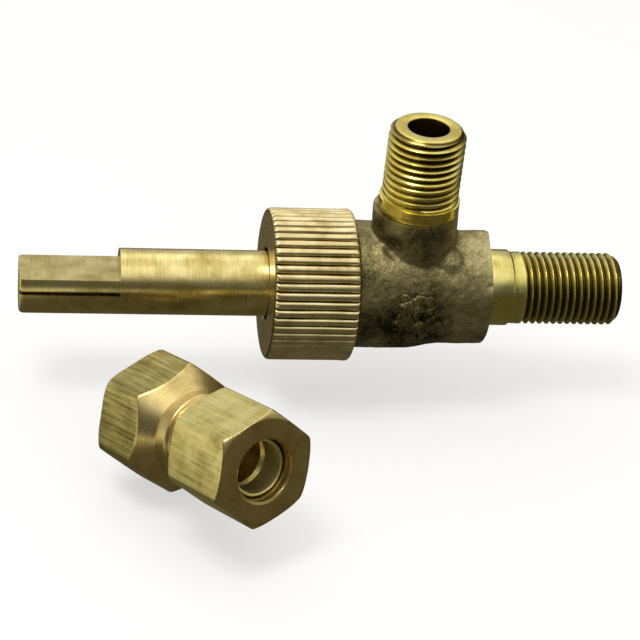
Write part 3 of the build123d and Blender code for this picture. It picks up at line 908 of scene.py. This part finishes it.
def cast_brass():
    """Rough tarnished casting: grain, dark pits, stains, painted shade underneath with painted light on top,
    painted shade on the boss, and lighter towards the rear.
    """
    made, nodes, links = material("cast_brass")
    plain = texture_space(nodes, links, (1, 1, 1))
    grain = noise_node(nodes, links, plain, 4.5, 6.0, 0.65)
    cloud = noise_node(nodes, links, plain, 0.28, 5.0, 0.6)
    fine = noise_node(nodes, links, plain, 14.0, 3.0, 0.6)
    tarnish = float_mix(nodes, links, 0.45, cloud, grain)
    split = nodes.new("ShaderNodeSeparateXYZ")
    links.new(plain, split.inputs["Vector"])
    # painted shade and light: darker towards the bottom of the barrel, lighter towards its top
    height = range_node(nodes, links, split.outputs["Z"], AXIS_Z - BARREL_R, AXIS_Z + BARREL_R, -0.09, 0.05)
    rear = range_node(nodes, links, split.outputs["X"], BARREL_STEP, REAR_FACE, 0.0, 0.09)
    scar = nodes.new("ShaderNodeVectorMath")
    scar.operation = "DISTANCE"
    scar.inputs[1].default_value = SCAR_CENTRE + Vector((0, 0, AXIS_Z))
    links.new(plain, scar.inputs[0])
    scarred = range_node(nodes, links, scar.outputs["Value"], SCAR_REACH * 0.4, SCAR_REACH, 1.0, 0.0)
    vein = noise_node(nodes, links, plain, 0.45, 3.0, 0.7)
    stain = nodes.new("ShaderNodeMath")
    stain.operation = "MULTIPLY"
    links.new(scarred, stain.inputs[0])
    links.new(range_node(nodes, links, vein, 0.53, 0.58, 0.0, -0.13), stain.inputs[1])
    flat = nodes.new("ShaderNodeVectorMath")
    flat.operation = "MULTIPLY"
    flat.inputs[1].default_value = ALONG_Z
    links.new(plain, flat.inputs[0])
    out = nodes.new("ShaderNodeVectorMath")
    out.operation = "LENGTH"
    links.new(flat.outputs["Vector"], out.inputs[0])
    # painted shade: a little darker on the boss near the inlet axis, and a little lighter from BOSS_R + 1.0
    # outwards as painted sheen
    boss = range_node(nodes, links, out.outputs["Value"], BOSS_R + 0.3, BOSS_R + 1.0, -0.01, 0.02)
    for extra in (height, rear, boss, stain.outputs["Value"]):
        plus = nodes.new("ShaderNodeMath")
        plus.operation = "ADD"
        links.new(tarnish, plus.inputs[0])
        links.new(extra, plus.inputs[1])
        tarnish = plus.outputs["Value"]
    colour = ramp_node(nodes, links, tarnish, [
        (0.34, (0.022, 0.018, 0.008)), (0.44, (0.085, 0.070, 0.028)), (0.52, (0.18, 0.15, 0.062)),
        (0.62, (0.31, 0.27, 0.125)), (0.72, (0.47, 0.42, 0.22)),
    ])
    rough = range_node(nodes, links, grain, 0.3, 0.7, 0.58, 0.36)
    under = bump_node(nodes, links, grain, 0.8, 0.06)
    normal = bump_node(nodes, links, fine, 0.5, 0.02, under)
    surface_node(nodes, links, colour, rough, normal, 0.9)
    return made


def white_plastic():
    """PTFE: milky, slightly waxy, faintly mottled."""
    made, nodes, links = material("white_plastic")
    plain = texture_space(nodes, links, (1, 1, 1))
    cloud = noise_node(nodes, links, plain, 1.2, 3.0)
    colour = ramp_node(nodes, links, cloud, [(0.3, (0.78, 0.78, 0.74)), (0.7, (0.88, 0.88, 0.85))])
    rough = range_node(nodes, links, cloud, 0.3, 0.7, 0.5, 0.38)
    normal = bump_node(nodes, links, cloud, 0.2, 0.01)
    surface_node(nodes, links, colour, rough, normal, 0.0)
    return made


def dress(item, finish):
    """Gives every material slot of an object one material."""
    item.data.materials.clear()
    item.data.materials.append(finish)


def dress_turned(item, across_flats, finish):
    """Gives every face of a hexagonal piece except its flats a turned finish."""
    item.data.materials.append(finish)
    flat_distance = (across_flats / 2 - 0.03) * MM
    for face in item.data.polygons:
        outward = face.center - tube_rear
        outward -= tube_direction * outward.dot(tube_direction)
        sideways = abs(face.normal.dot(tube_direction)) < 0.2
        if not (sideways and outward.length > flat_distance):
            face.material_index = 1


# ------------------------------------------------------------------ the pieces

TURN_X = (14.0, 0.25, 0.25)
TURN_Z = (0.25, 0.25, 14.0)
DRAWN_X = (0.12, 3.0, 3.0)

# dark brown of the painted shade in grooves and bores
GROOVE_SHADE = (0.085, 0.056, 0.014)
inlet_root = INLET_CREST_R - INLET_DEPTH

stem_brass = worked_brass("stem_brass", ((0.34, 0.26, 0.075), (0.64, 0.54, 0.21), (0.87, 0.78, 0.42)), TURN_X,
                          roughness=(0.18, 0.32))
nut_brass = worked_brass("nut_brass", ((0.38, 0.28, 0.11), (0.72, 0.61, 0.31), (0.94, 0.85, 0.54)), DRAWN_X,
                         roughness=(0.2, 0.36),
                         groove_shade=(ALONG_X, crossing, NUT_HOLE_R, NUT_R - KNURL_DEPTH, NUT_R - 0.24))
inlet_brass = worked_brass("inlet_brass",
                           ((0.42, 0.32, 0.05), (0.72, 0.60, 0.15), (0.90, 0.81, 0.32)), TURN_Z,
                           groove_shade=(ALONG_Z, crossing, BORE_R, inlet_root, inlet_root + 0.6 * INLET_DEPTH))
outlet_brass = worked_brass("outlet_brass",
                            ((0.44, 0.36, 0.07), (0.72, 0.64, 0.20), (0.88, 0.82, 0.38)), TURN_X,
                            groove_shade=(ALONG_X, crossing, BORE_R, OUTLET_CREST_R - OUTLET_DEPTH, OUTLET_CREST_R))
tube_turn = tube_direction.to_track_quat("X", "Z").to_euler()
body_bar_brass = worked_brass("body_bar_brass", ((0.13, 0.10, 0.025), (0.38, 0.33, 0.11), (0.64, 0.57, 0.24)),
                              DRAWN_X, rotation=tube_turn, roughness=(0.26, 0.46), mark_depth=0.012,
                              cloud_share=0.4)
nut_bar_brass = worked_brass("nut_bar_brass", ((0.36, 0.30, 0.09), (0.68, 0.60, 0.23), (0.86, 0.79, 0.38)),
                             DRAWN_X, rotation=tube_turn, roughness=(0.24, 0.42), mark_depth=0.008)
tube_turned_brass = worked_brass("tube_turned_brass",
                                 ((0.34, 0.25, 0.08), (0.64, 0.50, 0.20), (0.82, 0.69, 0.33)),
                                 TURN_X, rotation=tube_turn, roughness=(0.2, 0.36), mark_depth=0.006)
# the ferrule's own bright olive, toned up further as painted light that stands in for the light not reaching
# into the nut's hole
ferrule_painted_light_brass = worked_brass("ferrule_painted_light_brass", ((0.66, 0.61, 0.27), (0.84, 0.79, 0.42), (0.93, 0.89, 0.56)),
                             DRAWN_X, rotation=tube_turn, roughness=(0.35, 0.55))
rough_brass = cast_brass()
plastic = white_plastic()
needle_steel = worked_brass("needle_steel",
                            ((0.42, 0.42, 0.41), (0.58, 0.58, 0.57), (0.72, 0.72, 0.72)), TURN_X,
                            roughness=(0.14, 0.26))


def add(item, body, finish, slot, *nodes):
    """Dresses a piece, hangs it on the empty of the body it rides on and hides the CAD nodes it stands for.
    """
    dress(item, finish)
    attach(item, body)
    for node in nodes:
        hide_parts(node)


casting = body_casting()
add(casting, "valve", rough_brass, "cast_brass", "valve_body")
casting.data.materials.append(outlet_brass)
add(inlet_nipple(), "valve", inlet_brass, "cast_brass", "valve_body")
add(outlet_nipple(), "valve", outlet_brass, "cast_brass", "valve_body")
add(packing_neck(), "valve", outlet_brass, "cast_brass", "valve_body")
add(stem_bar(), "stem", stem_brass, "turned_brass", "stem")
add(knurled_nut(), "nut", nut_brass, "knurled_brass", "knurled_nut")
coupling = fitting_body()
add(coupling, "fitting", body_bar_brass, "drawn_brass", "fitting_body")
dress_turned(coupling, FITTING_HEX, tube_turned_brass)
tube_nut = compression_nut()
add(tube_nut, "tube_nut", nut_bar_brass, "drawn_brass", "compression_nut")
dress_turned(tube_nut, TUBE_NUT_HEX, tube_turned_brass)
add(ferrule_sleeve(), "sleeve", ferrule_painted_light_brass, "bright_brass", "ferrule")

for node in ("seat_ring", "packing_washer", "gland_follower", "needle_spindle"):
    dress(frame["nodes"][node], outlet_brass)
for node in ("thrust_washer_inner", "thrust_washer_outer", "packing_ring_inner", "packing_ring_outer"):
    dress(frame["nodes"][node], plastic)
dress(frame["nodes"]["needle_tip"], needle_steel)


# ------------------------------------------------------------------ camera, light and floor

def add_camera():
    """The camera of the catalogue view: low tele lens from the front, left and above."""
    eye = Vector((-58.35, -245.98, 145.55 + AXIS_Z)) * MM
    forward = Vector((0.1617, 0.8410, -0.5163))
    right = Vector((0.9867, -0.1305, 0.0964))
    upward = right.cross(forward)
    data = bpy.data.cameras.new("camera")
    data.sensor_width = 36.0
    data.lens = 125.4
    data.clip_start = 0.01
    data.clip_end = 20.0
    camera = bpy.data.objects.new("camera", data)
    turn = Matrix((right, upward, -forward)).transposed()
    camera.matrix_world = Matrix.Translation(eye) @ turn.to_4x4()
    bpy.context.scene.collection.objects.link(camera)
    bpy.context.scene.camera = camera


def add_floor():
    low = cad_box[0].z - 0.00002
    size = 3.0
    mesh = bpy.data.meshes.new("floor")
    mesh.from_pydata([(-size, -size, low), (size, -size, low), (size, size, low), (-size, size, low)], [],
                     [(0, 1, 2, 3)])
    floor = bpy.data.objects.new("floor", mesh)
    bpy.context.scene.collection.objects.link(floor)
    made, nodes, links = material("floor")
    diffuse = nodes.new("ShaderNodeBsdfDiffuse")
    diffuse.inputs["Color"].default_value = (0.9, 0.9, 0.9, 1.0)
    glow = nodes.new("ShaderNodeEmission")
    glow.inputs["Color"].default_value = (1.0, 1.0, 1.0, 1.0)
    glow.inputs["Strength"].default_value = 1.0
    pale = nodes.new("ShaderNodeMixShader")
    pale.inputs["Fac"].default_value = 0.6
    links.new(diffuse.outputs["BSDF"], pale.inputs[1])
    links.new(glow.outputs["Emission"], pale.inputs[2])
    split = nodes.new("ShaderNodeSeparateXYZ")
    place = nodes.new("ShaderNodeTexCoord")
    links.new(place.outputs["Object"], split.inputs["Vector"])
    dim = nodes.new("ShaderNodeEmission")
    rightward = range_node(nodes, links, split.outputs["X"], -0.085, -0.055, 0.0, 1.0)
    mirrored = ramp_node(nodes, links, rightward, [(0.0, (1.0, 0.94, 0.74)), (1.0, (0.088, 0.074, 0.040))])
    links.new(mirrored, dim.inputs["Color"])
    dim.inputs["Strength"].default_value = 1.0
    path = nodes.new("ShaderNodeLightPath")
    pick = nodes.new("ShaderNodeMixShader")
    links.new(path.outputs["Is Glossy Ray"], pick.inputs["Fac"])
    links.new(pale.outputs["Shader"], pick.inputs[1])
    links.new(dim.outputs["Emission"], pick.inputs[2])
    out = nodes.new("ShaderNodeOutputMaterial")
    links.new(pick.outputs["Shader"], out.inputs["Surface"])
    mesh.materials.append(made)


def add_softbox(name, place, target, width, height, power):
    data = bpy.data.lights.new(name, "AREA")
    data.shape = "RECTANGLE"
    data.size = width
    data.size_y = height
    data.energy = power
    lamp = bpy.data.objects.new(name, data)
    lamp.location = place
    lamp.rotation_euler = (Vector(target) - Vector(place)).to_track_quat("-Z", "Y").to_euler()
    bpy.context.scene.collection.objects.link(lamp)


def add_world():
    """White to the camera; to everything else a dim room with soft patches of light."""
    world = bpy.data.worlds.new("room")
    bpy.context.scene.world = world
    world.use_nodes = True
    nodes, links = world.node_tree.nodes, world.node_tree.links
    nodes.clear()
    place = nodes.new("ShaderNodeTexCoord")

    def glow(direction, low, high, strength):
        """A soft-edged patch of light around a direction."""
        dot = nodes.new("ShaderNodeVectorMath")
        dot.operation = "DOT_PRODUCT"
        dot.inputs[1].default_value = Vector(direction).normalized()
        links.new(place.outputs["Generated"], dot.inputs[0])
        patch = nodes.new("ShaderNodeMapRange")
        patch.interpolation_type = "SMOOTHSTEP"
        patch.inputs["From Min"].default_value = low
        patch.inputs["From Max"].default_value = high
        patch.inputs["To Min"].default_value = 0.0
        patch.inputs["To Max"].default_value = strength
        links.new(dot.outputs["Value"], patch.inputs["Value"])
        return patch.outputs["Result"]

    total = None
    for direction, low, high, strength in ROOM_LIGHT:
        patch = glow(direction, low, high, strength)
        if total is None:
            total = patch
            continue
        plus = nodes.new("ShaderNodeMath")
        plus.operation = "ADD"
        links.new(total, plus.inputs[0])
        links.new(patch, plus.inputs[1])
        total = plus.outputs["Value"]
    room = nodes.new("ShaderNodeBackground")
    room.inputs["Color"].default_value = (1.0, 0.965, 0.89, 1.0)
    links.new(total, room.inputs["Strength"])
    white = nodes.new("ShaderNodeBackground")
    white.inputs["Color"].default_value = (1.0, 1.0, 1.0, 1.0)
    white.inputs["Strength"].default_value = 1.0
    path = nodes.new("ShaderNodeLightPath")
    pick = nodes.new("ShaderNodeMixShader")
    links.new(path.outputs["Is Camera Ray"], pick.inputs["Fac"])
    links.new(room.outputs["Background"], pick.inputs[1])
    links.new(white.outputs["Background"], pick.inputs[2])
    out = nodes.new("ShaderNodeOutputWorld")
    links.new(pick.outputs["Shader"], out.inputs["Surface"])


# patches of light in the room: direction, outer and inner edge as cosines, strength
ROOM_LIGHT = (
    ((0, 0, 1), -1.0, 1.0, 0.13),
    ((0.1, 0.05, 0.99), 0.45, 0.85, 1.0),
    ((-0.3, 0.9, 0.35), 0.55, 0.85, 0.58),
    ((-1.0, -0.1, 0.1), 0.78, 0.92, 0.5),
    ((0.95, -0.2, 0.3), 0.85, 0.95, 0.3),
    ((0.16, -0.84, 0.52), 0.93, 0.985, 0.12),
)


add_camera()
add_floor()
add_world()
add_softbox("key", (-0.22, -0.12, 0.55), (0, 0, -0.02), 0.22, 0.22, 1.6)
bpy.context.scene.view_settings.view_transform = "Standard"
